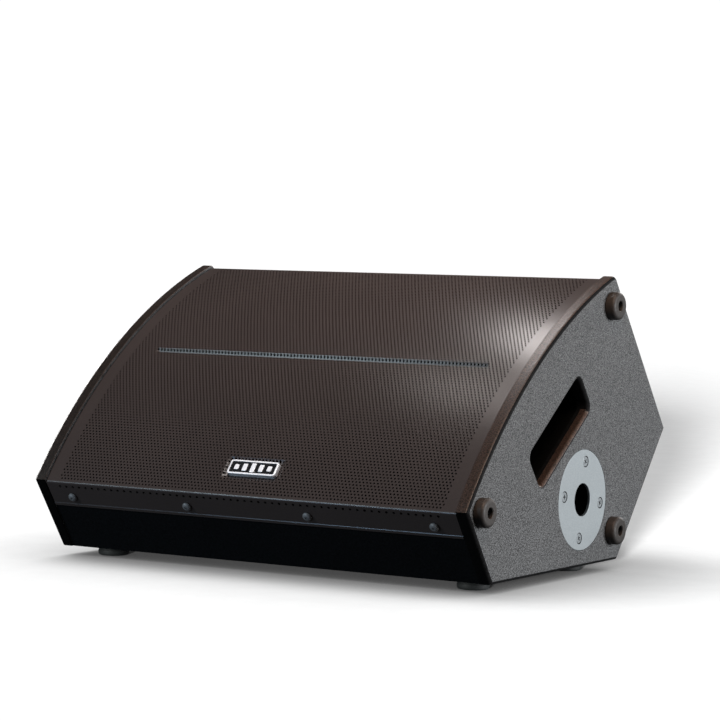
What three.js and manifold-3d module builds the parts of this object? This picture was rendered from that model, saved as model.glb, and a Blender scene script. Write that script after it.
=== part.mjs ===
// Stage monitor wedge: a plywood floor monitor with a curved perforated grille, a coaxial
// loudspeaker, a pole socket in its right side, hand slots in both sides and an amplifier at the back.
// Millimetres, +Z up. +X is the side with the pole socket, -Y faces the performer.
import * as THREE from 'three';
import { mergeVertices } from 'three/addons/utils/BufferGeometryUtils.js';
import Module from 'manifold-3d';

const wasm = await Module();
wasm.setup();

// ---------------------------------------------------------------- driving dimensions
const GAP = 0.3; // clearance between neighbouring pieces
const WIDTH = 560; // over the two side panels
const PLY = 15; // plywood thickness
const SLOPE = THREE.MathUtils.degToRad(36.5); // lean of the grille's chord from the floor
const FRONT_LEAN = THREE.MathUtils.degToRad(3); // front edge, from square with the chord
const BOTTOM_LENGTH = 285;
const BACK_U = 405; // rear upper edge of the side panels, along the chord
const REAR_CORNER_V = -124; // rear-most corner, below the chord
const ARC_RADIUS = 661; // curved top edge of the side panels
const ARC_CENTRE = new THREE.Vector2(206, -535);
const BACK_CORNER_RADIUS = 8;
const INSET = 2.2; // front and rear upper panels, behind the side panels' edges

const FOOT_RADIUS = 17.5;
const FOOT_HEIGHT = 11;
const FOOT_X = 236;
const FOOT_FRONT_Y = 39;

const BUMPER_RADIUS = 15.5;
const BUMPER_HEIGHT = 12;

const GRILLE_DROP = 3.5; // grille surface, below the side panels' curved edge
const GRILLE_SHEET = 1.5;
const GRILLE_LIP = 59; // lower edge of the grille's front flange, along the front edge
const GRILLE_SCREW_ALONG = 72.5;
const GRILLE_SCREW_X = [-234, -78, 78, 234];
const BADGE = { width: 62, height: 18, thick: 2, u: 41 };

const HANDLE = { u: 206, v: 35, length: 144, height: 54, radius: 11, depth: 60, wall: 3 };
const POLE = { u: 203, v: -59, plate: 55, bore: 18, wall: 2.5, depth: 95, sheet: 3, pitch: 42 };

const BAFFLE_V = 82.5; // front face of the baffle board
const DRIVER_U = 203;
const DRIVER = { rim: 155, cutout: 141.3 };
const PORT = { x: 200, u: 75, inner: 33.5, outer: 36, flange: 44, length: 60 };

const AMP = { v: -38, width: 300, height: 140, sheet: 2.5, depth: 66, shell: 1.5, edge: 11 };
const AMP_HOLE = { width: AMP.width - 2 * AMP.edge, height: AMP.height - 2 * AMP.edge };
const AMP_SCREW = { x: 144.5, y: 64.5 };
const INPUT_AT = new THREE.Vector2(14, 30);
const LINK_AT = new THREE.Vector2(52, 30);
const KNOB_AT = new THREE.Vector2(102, 30);
const BUTTON_AT = new THREE.Vector2(2, -34);
const LED_AT = new THREE.Vector2(77, 2);
const INLET_AT = new THREE.Vector2(50, -34);
const SWITCH_AT = new THREE.Vector2(110, -34);

// ---------------------------------------------------------------- materials
const paint = (hex, roughness, metalness = 0) =>
  new THREE.MeshStandardMaterial({ color: hex, roughness, metalness });
const M = {
  texturedPaint: paint(0x3a3c3f, 0.75),
  blackPaint: paint(0x0b0b0c, 0.6),
  grille: paint(0x2e2624, 0.5, 0.4),
  foam: paint(0x0d0d0d, 1),
  rubber: paint(0x1a1715, 0.85),
  zinc: paint(0x9aa2a5, 0.4, 0.9),
  screw: paint(0x2c2e31, 0.4, 0.8),
  badge: paint(0xc9ccd0, 0.3, 0.9),
  plastic: paint(0x101112, 0.6),
  cone: paint(0x17171a, 0.9),
  cast: paint(0x1c1d20, 0.5, 0.5),
  ferrite: paint(0x2b2b2d, 0.7),
  copper: paint(0x9c5a2e, 0.4, 0.8),
  linen: paint(0x9a7a3c, 0.95),
  aluminium: paint(0x17181a, 0.45, 0.7),
  board: paint(0x1c4a2c, 0.6),
  lens: paint(0x2f8f4a, 0.2),
};

// ---------------------------------------------------------------- solids
const ON_PROFILE = new THREE.Matrix4().makeBasis(
  new THREE.Vector3(0, 1, 0),
  new THREE.Vector3(0, 0, 1),
  new THREE.Vector3(1, 0, 0),
);

/** Welds a geometry to shared vertices, drops empty triangles and turns its faces outward. */
function solid(geometry) {
  const bare = geometry.clone();
  bare.deleteAttribute('normal');
  bare.deleteAttribute('uv');
  const welded = mergeVertices(bare, 1e-4);
  const place = welded.getAttribute('position');
  const a = new THREE.Vector3();
  const b = new THREE.Vector3();
  const c = new THREE.Vector3();
  const index = [];
  let volume = 0;
  for (let i = 0; i < welded.index.count; i += 3) {
    const [p, q, r] = [0, 1, 2].map((k) => welded.index.getX(i + k));
    if (p === q || q === r || r === p) continue;
    index.push(p, q, r);
    a.fromBufferAttribute(place, p);
    b.fromBufferAttribute(place, q);
    c.fromBufferAttribute(place, r);
    volume += a.dot(b.cross(c));
  }
  welded.setIndex(volume < 0 ? index.reverse() : index);
  return welded;
}

function toManifold(geometry) {
  const shell = solid(geometry);
  const vertProperties = new Float32Array(shell.getAttribute('position').array);
  const triVerts = new Uint32Array(shell.index.array);
  return new wasm.Manifold(new wasm.Mesh({ numProp: 3, vertProperties, triVerts }));
}

function fromManifold(body) {
  const mesh = body.getMesh();
  const geometry = new THREE.BufferGeometry();
  geometry.setAttribute('position', new THREE.BufferAttribute(mesh.vertProperties, 3));
  geometry.setIndex(new THREE.BufferAttribute(mesh.triVerts, 1));
  return geometry;
}

const cut = (body, tools) =>
  fromManifold(tools.reduce((rest, tool) => rest.subtract(toManifold(tool)), toManifold(body)));
const join = (parts) =>
  fromManifold(parts.slice(1).reduce((sum, part) => sum.add(toManifold(part)), toManifold(parts[0])));

/** Extrudes a shape along Z from z0 to z1. */
function prism(shape, z0, z1, curveSegments = 8) {
  const geometry = new THREE.ExtrudeGeometry(shape, { depth: z1 - z0, bevelEnabled: false, curveSegments });
  return geometry.translate(0, 0, z0);
}

/** Extrudes a side-profile shape, drawn in (u, v), across the cabinet from x0 to x1. */
const across = (shape, x0, x1, curveSegments = 8) =>
  prism(shape, x0, x1, curveSegments).applyMatrix4(ON_PROFILE);

const polygon = (points) => new THREE.Shape(points.map(([x, y]) => new THREE.Vector2(x, y)));

function roundedRectangle(cx, cy, width, height, radius) {
  const shape = new THREE.Shape();
  const [x, y] = [width / 2 - radius, height / 2 - radius];
  shape.absarc(cx + x, cy + y, radius, 0, Math.PI / 2);
  shape.absarc(cx - x, cy + y, radius, Math.PI / 2, Math.PI);
  shape.absarc(cx - x, cy - y, radius, Math.PI, 1.5 * Math.PI);
  shape.absarc(cx + x, cy - y, radius, 1.5 * Math.PI, 2 * Math.PI);
  shape.closePath();
  return shape;
}

function circle(cx, cy, radius) {
  const shape = new THREE.Shape();
  shape.absarc(cx, cy, radius, 0, 2 * Math.PI);
  return shape;
}

/** Turns a closed outline of [radius, height] points about Z. */
function turned(outline, segments = 32) {
  const points = [...outline, outline[0]].map(([r, h]) => new THREE.Vector2(r, h));
  return new THREE.LatheGeometry(points, segments).rotateX(Math.PI / 2);
}

/** Same, about X: heights run towards +X. */
const turnedAcross = (outline, segments = 32) => turned(outline, segments).rotateY(Math.PI / 2);

/** Outline of a sheet of constant thickness along a path of points. */
function ribbon(path, thick) {
  const side = (sign) =>
    path.map((point, i) => {
      const before = path[Math.max(i - 1, 0)];
      const after = path[Math.min(i + 1, path.length - 1)];
      const along = after.clone().sub(before).normalize();
      return [point.x - (sign * along.y * thick) / 2, point.y + (sign * along.x * thick) / 2];
    });
  return [...side(1), ...side(-1).reverse()];
}


// ---------------------------------------------------------------- side profile, in (u, v)
// u runs up along the chord of the curved face, v runs out of it; the front bottom corner is (0, 0).
const vec = (x, y) => new THREE.Vector2(x, y);
const direction = (angle) => vec(Math.cos(angle), Math.sin(angle));
const arcHeight = (u, drop = 0) =>
  ARC_CENTRE.y + Math.sqrt((ARC_RADIUS - drop) ** 2 - (u - ARC_CENTRE.x) ** 2);
const arcAngle = (u, drop = 0) => Math.acos((u - ARC_CENTRE.x) / (ARC_RADIUS - drop));

const FRONT_DIRECTION = direction(Math.PI / 2 - FRONT_LEAN);
const CORNER_A = vec(0, 0);
const CORNER_B = direction(-SLOPE).multiplyScalar(BOTTOM_LENGTH);
const CORNER_C = vec(BACK_U, REAR_CORNER_V);

/** Where the front edge meets the arc lowered by drop. */
function frontOnArc(inset, drop) {
  const start = vec(inset / Math.cos(FRONT_LEAN), 0);
  const toCentre = start.clone().sub(ARC_CENTRE);
  const along = toCentre.dot(FRONT_DIRECTION);
  const reach = Math.sqrt(along ** 2 - toCentre.lengthSq() + (ARC_RADIUS - drop) ** 2) - along;
  return start.addScaledVector(FRONT_DIRECTION, reach);
}

/** A line through two points, moved inward (to the left of its direction) by inset. */
function edge(from, to, inset) {
  const along = to.clone().sub(from).normalize();
  const inward = vec(-along.y, along.x);
  return { at: from.clone().addScaledVector(inward, inset), along };
}

function meet(one, two) {
  const apart = two.at.clone().sub(one.at);
  const reach = apart.cross(two.along) / one.along.cross(two.along);
  return one.at.clone().addScaledVector(one.along, reach);
}

function sidePanelShape() {
  const frontCorner = frontOnArc(0, 0);
  const shape = new THREE.Shape();
  shape.moveTo(CORNER_A.x, CORNER_A.y);
  shape.lineTo(CORNER_B.x, CORNER_B.y);
  shape.lineTo(CORNER_C.x, CORNER_C.y);
  const inner = ARC_RADIUS - BACK_CORNER_RADIUS;
  const cornerU = BACK_U - BACK_CORNER_RADIUS;
  const turn = Math.acos((cornerU - ARC_CENTRE.x) / inner);
  const cornerV = ARC_CENTRE.y + inner * Math.sin(turn);
  shape.absarc(cornerU, cornerV, BACK_CORNER_RADIUS, 0, turn);
  const frontAngle = frontCorner.clone().sub(ARC_CENTRE).angle();
  shape.absarc(ARC_CENTRE.x, ARC_CENTRE.y, ARC_RADIUS, turn, frontAngle);
  shape.closePath();
  return shape;
}

// ---------------------------------------------------------------- scene graph
const wedge = new THREE.Group();
const sloped = new THREE.Group(); // local X across, Y = u, Z = v
sloped.position.z = FOOT_HEIGHT;
sloped.rotation.x = SLOPE;
wedge.add(sloped);

const driver = new THREE.Group(); // Z runs out of the baffle, from its front face
driver.position.set(0, DRIVER_U, BAFFLE_V);
sloped.add(driver);

const rear = new THREE.Group(); // amplifier panel: X right and Y up as seen from behind, Z outward
rear.position.set(0, BACK_U - INSET, AMP.v);
rear.quaternion.setFromRotationMatrix(
  new THREE.Matrix4().makeBasis(
    new THREE.Vector3(-1, 0, 0),
    new THREE.Vector3(0, 0, 1),
    new THREE.Vector3(0, 1, 0),
  ),
);
sloped.add(rear);

function add(group, name, geometry, material, x = 0, y = 0, z = 0) {
  const mesh = new THREE.Mesh(solid(geometry), material);
  mesh.name = name;
  mesh.position.set(x, y, z);
  group.add(mesh);
  return mesh;
}

// ---------------------------------------------------------------- cabinet
const HALF = WIDTH / 2;
const INNER_HALF = HALF - PLY;
const BUMPERS = [
  { name: 'front', u: 25.5, v: 77.5 },
  { name: 'top', u: 376, v: 74.5 },
  { name: 'rear', u: 236, v: -132 },
];
const DIAGONALS = [0, 1, 2, 3].map((k) => direction(Math.PI / 4 + (k * Math.PI) / 2));

function pilotHole(u, v, radius, x0, x1) {
  return across(circle(u, v, radius), x0, x1, 6);
}

function buildSidePanels() {
  const shape = sidePanelShape();
  shape.holes.push(roundedRectangle(HANDLE.u, HANDLE.v, HANDLE.length, HANDLE.height, HANDLE.radius));
  add(sloped, 'side_panel_left', across(shape, -HALF, -INNER_HALF, 10), M.texturedPaint);

  const clear = 1;
  const seat = circle(POLE.u, POLE.v, POLE.plate + GAP);
  const recess = across(seat, HALF - POLE.sheet - GAP, HALF + clear, 24);
  const tubeRadius = POLE.bore + POLE.wall + GAP;
  const tools = [recess, across(circle(POLE.u, POLE.v, tubeRadius), INNER_HALF - clear, HALF, 16)];
  for (const way of DIAGONALS) {
    const [u, v] = [POLE.u + way.x * POLE.pitch, POLE.v + way.y * POLE.pitch];
    tools.push(pilotHole(u, v, 2.6, INNER_HALF - clear, HALF));
  }
  for (const bumper of BUMPERS) {
    tools.push(pilotHole(bumper.u, bumper.v, 2.6, INNER_HALF - clear, HALF + clear));
  }
  add(sloped, 'side_panel_right', cut(across(shape, INNER_HALF, HALF, 10), tools), M.texturedPaint);
}

function buildPanels() {
  const frontTop = frontOnArc(0, 0);
  const backTop = vec(BACK_U, arcHeight(BACK_U));
  const faces = [0, PLY].map((depth) => ({
    front: edge(frontTop, CORNER_A, INSET + depth),
    bottom: edge(CORNER_A, CORNER_B, depth),
    rearLower: edge(CORNER_B, CORNER_C, depth),
    rearUpper: edge(CORNER_C, backTop, INSET + depth),
  }));
  const level = (v) => ({ at: vec(0, v), along: vec(1, 0) });
  const FRONT_TOP_V = 86;
  const BACK_TOP_V = 78;
  const corners = faces.map((face) => [
    meet(level(FRONT_TOP_V), face.front),
    meet(face.front, face.bottom),
    meet(face.bottom, face.rearLower),
    meet(face.rearLower, face.rearUpper),
    meet(face.rearUpper, level(BACK_TOP_V)),
  ]);
  const board = (i) => {
    const [start, innerStart] = [corners[0][i], corners[1][i]];
    const [end, innerEnd] = [corners[0][i + 1], corners[1][i + 1]];
    const trim = end.clone().sub(start).setLength(GAP);
    return polygon([
      start.clone().add(trim).toArray(),
      end.clone().sub(trim).toArray(),
      innerEnd.clone().sub(trim).toArray(),
      innerStart.clone().add(trim).toArray(),
    ]);
  };
  const reach = INNER_HALF - GAP;
  const names = ['front_panel', 'bottom_panel', 'rear_lower_panel'];
  const pilot = (x) => frontScrew(new THREE.CylinderGeometry(2.3, 2.3, 28, 10), x);
  const frontPilots = GRILLE_SCREW_X.map(pilot);
  names.forEach((name, i) => {
    const finish = i === 0 ? M.blackPaint : M.texturedPaint;
    add(sloped, name, cut(across(board(i), -reach, reach), i === 0 ? frontPilots : []), finish);
  });

  const ampHole = new THREE.BoxGeometry(AMP_HOLE.width, 4 * PLY, AMP_HOLE.height);
  ampHole.translate(0, BACK_U - INSET, AMP.v);
  const pilots = [];
  for (const [x, y] of ampScrewPlaces()) {
    const pilot = new THREE.CylinderGeometry(2.2, 2.2, 4 * PLY, 10);
    pilots.push(pilot.translate(x, BACK_U - INSET, AMP.v + y));
  }
  const upper = cut(across(board(3), -reach, reach), [ampHole, ...pilots]);
  add(sloped, 'rear_upper_panel', upper, M.texturedPaint);
}

function ampScrewPlaces() {
  return [[1, 1], [-1, 1], [-1, -1], [1, -1]].map(([i, j]) => [i * AMP_SCREW.x, j * AMP_SCREW.y]);
}

function buildBaffle() {
  const frontInner = 21.9;
  const backInner = BACK_U - INSET - PLY - GAP;
  const reach = INNER_HALF - GAP;
  const shape = polygon([
    [-reach, frontInner], [reach, frontInner],
    [reach, backInner], [-reach, backInner],
  ]);
  shape.holes.push(circle(0, DRIVER_U, DRIVER.cutout));
  for (const side of [-1, 1]) {
    shape.holes.push(circle(side * PORT.x, PORT.u, PORT.outer + GAP));
  }
  add(sloped, 'baffle_board', prism(shape, BAFFLE_V - PLY, BAFFLE_V, 20), M.blackPaint);
}

function buildHandleCups() {
  const { u, v, length, height, radius, depth, wall } = HANDLE;
  const mouth = INNER_HALF - GAP;
  for (const side of [-1, 1]) {
    const outer = roundedRectangle(u, v, length + 2 * wall, height + 2 * wall, radius + wall);
    const inner = roundedRectangle(u, v, length, height, radius);
    const bounds = (shape, near, far) =>
      side > 0 ? across(shape, far, near, 4) : across(shape, -near, -far, 4);
    const cup = cut(bounds(outer, mouth, mouth - depth), [bounds(inner, mouth + 1, mouth - depth + wall)]);
    add(sloped, side > 0 ? 'handle_cup_right' : 'handle_cup_left', cup, M.plastic);
  }
}

// ---------------------------------------------------------------- grille
function buildGrille() {
  const middle = GRILLE_SHEET / 2;
  const drop = GRILLE_DROP + middle;
  const inset = INSET - GAP - middle; // middle of the flanges, behind the side panels' edges
  const lipRun = 2.5;
  const foldRun = 4;
  const backFlange = 26;

  const front = vec(inset / Math.cos(FRONT_LEAN), 0);
  const lip = front.clone().addScaledVector(FRONT_DIRECTION, GRILLE_LIP + 1);
  const outward = vec(-FRONT_DIRECTION.y, FRONT_DIRECTION.x);
  const lipEnd = lip.clone().addScaledVector(FRONT_DIRECTION, -lipRun).addScaledVector(outward, 1.2);
  const fold = frontOnArc(inset, drop);
  const foldStart = fold.clone().addScaledVector(FRONT_DIRECTION, -foldRun);
  const arcStart = fold.x + foldRun;
  const backU = BACK_U - inset;
  const arcEnd = backU - foldRun;
  const backFold = vec(backU, arcHeight(backU, drop));

  const path = new THREE.Path();
  path.moveTo(lipEnd.x, lipEnd.y);
  path.lineTo(lip.x, lip.y);
  path.lineTo(foldStart.x, foldStart.y);
  path.quadraticCurveTo(fold.x, fold.y, arcStart, arcHeight(arcStart, drop));
  const radius = ARC_RADIUS - drop;
  path.absarc(ARC_CENTRE.x, ARC_CENTRE.y, radius, arcAngle(arcStart, drop), arcAngle(arcEnd, drop), true);
  path.quadraticCurveTo(backFold.x, backFold.y, backU, backFold.y - foldRun);
  path.lineTo(backU, backFold.y - backFlange);
  const reach = INNER_HALF - 2 * GAP;
  const sheet = across(polygon(ribbon(tidied(path.getPoints(9)), GRILLE_SHEET)), -reach, reach);

  const screwHoles = GRILLE_SCREW_X.map((x) => frontScrew(new THREE.CylinderGeometry(2.3, 2.3, 8, 10), x));
  add(sloped, 'grille', cut(sheet, screwHoles), M.grille);

  const foamThick = 5;
  const foamDrop = GRILLE_DROP + GRILLE_SHEET + GAP + foamThick / 2;
  const foam = new THREE.Path();
  const [foamStart, foamEnd] = [arcAngle(24, foamDrop), arcAngle(394, foamDrop)];
  foam.absarc(ARC_CENTRE.x, ARC_CENTRE.y, ARC_RADIUS - foamDrop, foamStart, foamEnd, true);
  const foamShape = polygon(ribbon(foam.getPoints(9), foamThick));
  add(sloped, 'grille_foam', across(foamShape, 2 - INNER_HALF, INNER_HALF - 2), M.foam);

  const headOutline = [[0, 0], [5.2, 0], [5, 1.2], [3.6, 2.5], [0, 3.1]];
  const shankOutline = [[0, -12], [2, -12], [2, 0.5], [0, 0.5]];
  GRILLE_SCREW_X.forEach((x, i) => {
    const screw = join([turned(headOutline, 14), turned(shankOutline, 14)]).rotateX(-Math.PI / 2);
    add(sloped, `grille_screw_${i + 1}`, frontScrew(screw, x), M.screw);
  });

  const badgeAngle = Math.asin((BADGE.u - ARC_CENTRE.x) / ARC_RADIUS);
  const badge = prism(roundedRectangle(0, 0, BADGE.width, BADGE.height, 3), 0, BADGE.thick, 4);
  const badgeSeat = arcHeight(BADGE.u, GRILLE_DROP - GAP);
  const plate = add(sloped, 'badge_plate', badge, M.badge, 0, BADGE.u, badgeSeat);
  plate.rotation.x = -badgeAngle;
}

/** Drops points closer together than a tenth of a millimetre. */
const tidied = (points) => points.filter((p, i) => i === 0 || p.distanceTo(points[i - 1]) > 0.1);

/** Stands a piece made along +Y (outward) on the grille's front flange. */
function frontScrew(geometry, x) {
  const foot = vec((INSET - GAP - GRILLE_SHEET - GAP) / Math.cos(FRONT_LEAN), 0);
  foot.addScaledVector(FRONT_DIRECTION, GRILLE_SCREW_ALONG);
  return geometry.rotateX(Math.PI - FRONT_LEAN).translate(x, foot.x, foot.y);
}

// ---------------------------------------------------------------- coaxial loudspeaker
function buildDriver() {
  const basket = turned([
    [DRIVER.rim, GAP], [DRIVER.rim, 5.3], [141, 5.3], [141, 1.5], [134, 1.5],
    [96.5, -68], [96.5, -70], [45, -70], [45, -73], [99, -73], [99.5, -69.5], [138.5, GAP],
  ], 40);
  const windows = [0, 1, 2, 3, 4, 5].map((k) => {
    const opening = new THREE.BoxGeometry(64, 70, 46).translate(0, 118, -36);
    return opening.rotateZ((k * Math.PI) / 3);
  });
  add(driver, 'driver_basket', cut(basket, windows), M.cast);

  const roll = new THREE.Path();
  roll.moveTo(139.5, 2.3);
  roll.lineTo(134, 2.3);
  roll.absarc(125, 2.3, 9, 0, Math.PI, false);
  roll.lineTo(113.6, 2.3);
  add(driver, 'woofer_surround', turned(ribbon(tidied(roll.getPoints(4)), 1), 36), M.rubber);

  const coneLine = new THREE.Path();
  coneLine.moveTo(112.4, 2);
  coneLine.quadraticCurveTo(66, -24, 40.6, -54);
  add(driver, 'woofer_cone', turned(ribbon(coneLine.getPoints(6), 1.2), 36), M.cone);

  add(driver, 'voice_coil', turned([[38.4, -94], [39.6, -94], [39.6, -50], [38.4, -50]], 32), M.copper);

  const waves = 5;
  const spiderLine = [];
  for (let i = 0; i <= waves * 4; i += 1) {
    const share = i / (waves * 4);
    spiderLine.push(vec(41 + share * 48, -65 + 1.4 * Math.sin(share * waves * 2 * Math.PI)));
  }
  add(driver, 'spider', turned(ribbon(spiderLine, 0.8), 28), M.linen);

  const magnet = [
    [78, -73.3], [78, -110], [18, -110], [18, -66], [36.5, -66], [36.5, -100], [41.5, -100], [41.5, -73.3],
  ];
  add(driver, 'driver_magnet', turned(magnet, 36), M.ferrite);

  const hornLine = new THREE.Path();
  hornLine.moveTo(19.5, -65.4);
  hornLine.quadraticCurveTo(24, -30, 62, -12);
  add(driver, 'hf_horn', turned(ribbon(hornLine.getPoints(7), 2), 32), M.plastic);

  const hfDriver = [[0, -110.4], [50, -110.4], [55, -115], [55, -146], [46, -158], [0, -158]];
  add(driver, 'compression_driver', turned(hfDriver, 32), M.cast);
}

function buildPorts() {
  const outline = [
    [PORT.flange, GAP], [PORT.flange, 2], [PORT.flange - 2, 3.3], [PORT.inner + 3, 3.3], [PORT.inner, 0],
    [PORT.inner, -PORT.length], [PORT.outer, -PORT.length], [PORT.outer, GAP],
  ];
  for (const side of [-1, 1]) {
    const name = side > 0 ? 'port_tube_right' : 'port_tube_left';
    add(sloped, name, turned(outline, 28), M.plastic, side * PORT.x, PORT.u, BAFFLE_V);
  }
}

// ---------------------------------------------------------------- pole socket, bumpers and feet
function buildPoleSocket() {
  const { plate, bore, wall, depth, sheet, pitch } = POLE;
  const tube = turnedAcross([
    [bore, -GAP], [bore, -depth], [0, -depth], [0, -depth - wall],
    [bore + wall, -depth - wall], [bore + wall, -sheet],
    [plate, -sheet], [plate, 0], [bore + 1, 0],
  ], 48);
  const holes = DIAGONALS.map((way) => {
    const hole = turnedAcross([[0, -sheet - 1], [2.9, -sheet - 1], [2.9, -sheet], [7.3, 1], [0, 1]], 20);
    return hole.translate(0, way.x * pitch, way.y * pitch);
  });
  add(sloped, 'pole_socket', cut(tube, holes), M.zinc, HALF, POLE.u, POLE.v);
  DIAGONALS.forEach((way, i) => {
    const screw = turnedAcross([[0, -20], [2.2, -20], [2.2, -sheet], [5.5, -GAP], [0, -GAP]], 16);
    const [u, v] = [POLE.u + way.x * pitch, POLE.v + way.y * pitch];
    add(sloped, `pole_socket_screw_${i + 1}`, screw, M.zinc, HALF, u, v);
  });
}

function buildBumpers() {
  const [r, h] = [BUMPER_RADIUS, BUMPER_HEIGHT];
  const outline = [
    [2.6, GAP], [r, GAP], [r, h - 3.5], [r - 1.2, h - 1.2],
    [r - 3.5, h], [5.6, h], [5.6, 4], [2.6, 4],
  ];
  const screw = [[0, -14], [2.2, -14], [2.2, 4 + GAP], [5, 4 + GAP], [4.6, 6], [0, 6.6]];
  for (const { name, u, v } of BUMPERS) {
    add(sloped, `side_bumper_${name}`, turnedAcross(outline, 28), M.rubber, HALF, u, v);
    add(sloped, `bumper_screw_${name}`, turnedAcross(screw, 14), M.screw, HALF, u, v);
  }
}

function buildFeet() {
  const [r, h] = [FOOT_RADIUS, FOOT_HEIGHT - GAP];
  const outline = [[0, 5], [6, 5], [6, 0], [r - 2.5, 0], [r - 0.8, 0.8], [r, 2.5], [r, h], [0, h]];
  for (const [row, y] of [['front', FOOT_FRONT_Y], ['rear', BOTTOM_LENGTH - FOOT_FRONT_Y]]) {
    for (const [side, x] of [['left', -FOOT_X], ['right', FOOT_X]]) {
      add(wedge, `foot_${row}_${side}`, turned(outline, 28), M.rubber, x, y, 0);
    }
  }
}

// ---------------------------------------------------------------- amplifier
const FACE = AMP.sheet + GAP; // outer face of the amplifier's steel panel
const SOCKET_RADIUS = 12;
const SOCKET_PLATE = 3.5; // thickness of a socket's flange, which the release tab sinks into
const BUTTON_RADIUS = 4;
const SWITCH_HOLE = { width: 27, height: 20 };
const INLET_HOLE = { width: 47, height: 24 };

function box(x0, x1, y0, y1, z0, z1) {
  const geometry = new THREE.BoxGeometry(x1 - x0, y1 - y0, z1 - z0);
  return geometry.translate((x0 + x1) / 2, (y0 + y1) / 2, (z0 + z1) / 2);
}

const centred = (at, width, height, z0, z1) =>
  box(at.x - width / 2, at.x + width / 2, at.y - height / 2, at.y + height / 2, z0, z1);

function buildAmpPanel() {
  const shape = roundedRectangle(0, 0, AMP.width, AMP.height, 4);
  for (const at of [INPUT_AT, LINK_AT]) {
    shape.holes.push(circle(at.x, at.y, SOCKET_RADIUS + GAP));
  }
  shape.holes.push(circle(KNOB_AT.x, KNOB_AT.y, 3.4));
  shape.holes.push(circle(BUTTON_AT.x, BUTTON_AT.y, BUTTON_RADIUS + GAP));
  shape.holes.push(circle(LED_AT.x, LED_AT.y, 2.8));
  for (const [x, y] of ampScrewPlaces()) {
    shape.holes.push(circle(x, y, 2.2));
  }
  for (const [at, hole] of [[INLET_AT, INLET_HOLE], [SWITCH_AT, SWITCH_HOLE]]) {
    shape.holes.push(roundedRectangle(at.x, at.y, hole.width, hole.height, 1));
  }
  add(rear, 'amp_panel', prism(shape, GAP, FACE, 16), M.aluminium);

  const screw = [
    [0, -12], [1.8, -12], [1.8, FACE + GAP],
    [3.8, FACE + GAP], [3.2, FACE + 2], [0, FACE + 2.6],
  ];
  ampScrewPlaces().forEach(([x, y], i) => {
    add(rear, `amp_screw_${i + 1}`, turned(screw, 12), M.screw, x, y, 0);
  });

  const [w, h] = [AMP_HOLE.width / 2 - 2, AMP_HOLE.height / 2 - 2];
  const t = AMP.shell;
  const shell = cut(box(-w, w, -h, h, -AMP.depth, 0), [box(t - w, w - t, t - h, h - t, t - AMP.depth, 1)]);
  add(rear, 'amp_housing', shell, M.aluminium);

  const board = box(-120, 120, -50, 50, -56, -54);
  const transformer = turned([[0, -54.5], [26, -54.5], [26, -34], [0, -34]], 20).translate(-75, 0, 0);
  const capacitors = [0, 1, 2].map((k) => turned([[0, -54.5], [8, -54.5], [8, -36], [0, -36]], 12)
    .translate(-20 + 20 * k, -34, 0));
  add(rear, 'amp_board', join([board, transformer, ...capacitors]), M.board);
}

function buildHeatsink() {
  const [x0, width, fins, fin, base, deep] = [-140, 118, 12, 3, 4, 18];
  const outline = [[x0, 0], [x0 + width, 0]];
  const pitch = (width - fin) / (fins - 1);
  for (let i = fins - 1; i >= 0; i -= 1) {
    const left = x0 + i * pitch;
    outline.push([left + fin, deep], [left, deep]);
    if (i > 0) outline.push([left, base], [left - pitch + fin, base]);
  }
  const comb = prism(polygon(outline), -56, 56).rotateX(Math.PI / 2);
  add(rear, 'amp_heatsink', comb, M.aluminium, 0, 0, FACE + GAP);
}

function buildSockets() {
  const face = FACE + GAP;
  const plate = (at) => prism(roundedRectangle(at.x, at.y, 26, 31, 2.5), face, face + SOCKET_PLATE, 3);
  const barrel = (at, radius, z0, z1) => prism(circle(at.x, at.y, radius), z0, z1, 14);

  const latchAt = vec(INPUT_AT.x, INPUT_AT.y + 12.8);
  const ring = barrel(INPUT_AT, 10.2, face - 13, face + 5);
  const insert = barrel(INPUT_AT, 8, face - 14, face + 1);
  const input = cut(join([plate(INPUT_AT), barrel(INPUT_AT, SOCKET_RADIUS, -26, face + 1)]), [
    ring,
    centred(latchAt, 8.6, 3.6, face + 0.2, face + 5),
  ]);
  add(rear, 'input_socket', join([input, insert]), M.plastic);
  add(rear, 'input_latch', centred(latchAt, 8, 3, face + 2.4, face + 5.3), M.screw);

  const pins = [90, 210, 330].map((degrees) => {
    const way = direction(THREE.MathUtils.degToRad(degrees)).multiplyScalar(4);
    return barrel(LINK_AT.clone().add(way), 1.2, face - 15, face - 3);
  });
  const well = cut(join([plate(LINK_AT), barrel(LINK_AT, SOCKET_RADIUS, -26, face + 1)]), [
    barrel(LINK_AT, 9.5, face - 14, face + 5),
  ]);
  add(rear, 'link_socket', join([well, ...pins]), M.plastic);

  const bezel = prism(roundedRectangle(INLET_AT.x, INLET_AT.y, 54, 31, 3), face, face + 2.5, 3);
  const body = centred(INLET_AT, INLET_HOLE.width - 1, INLET_HOLE.height - 1, -24, face + 1);
  const recess = centred(INLET_AT, 26, 18, face - 16, face + 4);
  const blades = [-7, 0, 7].map((x) => {
    const at = vec(INLET_AT.x + x, INLET_AT.y + (x === 0 ? 3 : -2));
    return centred(at, 2, 4, face - 17, face - 4);
  });
  add(rear, 'mains_inlet', join([cut(join([bezel, body]), [recess]), ...blades]), M.plastic);
}

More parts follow.
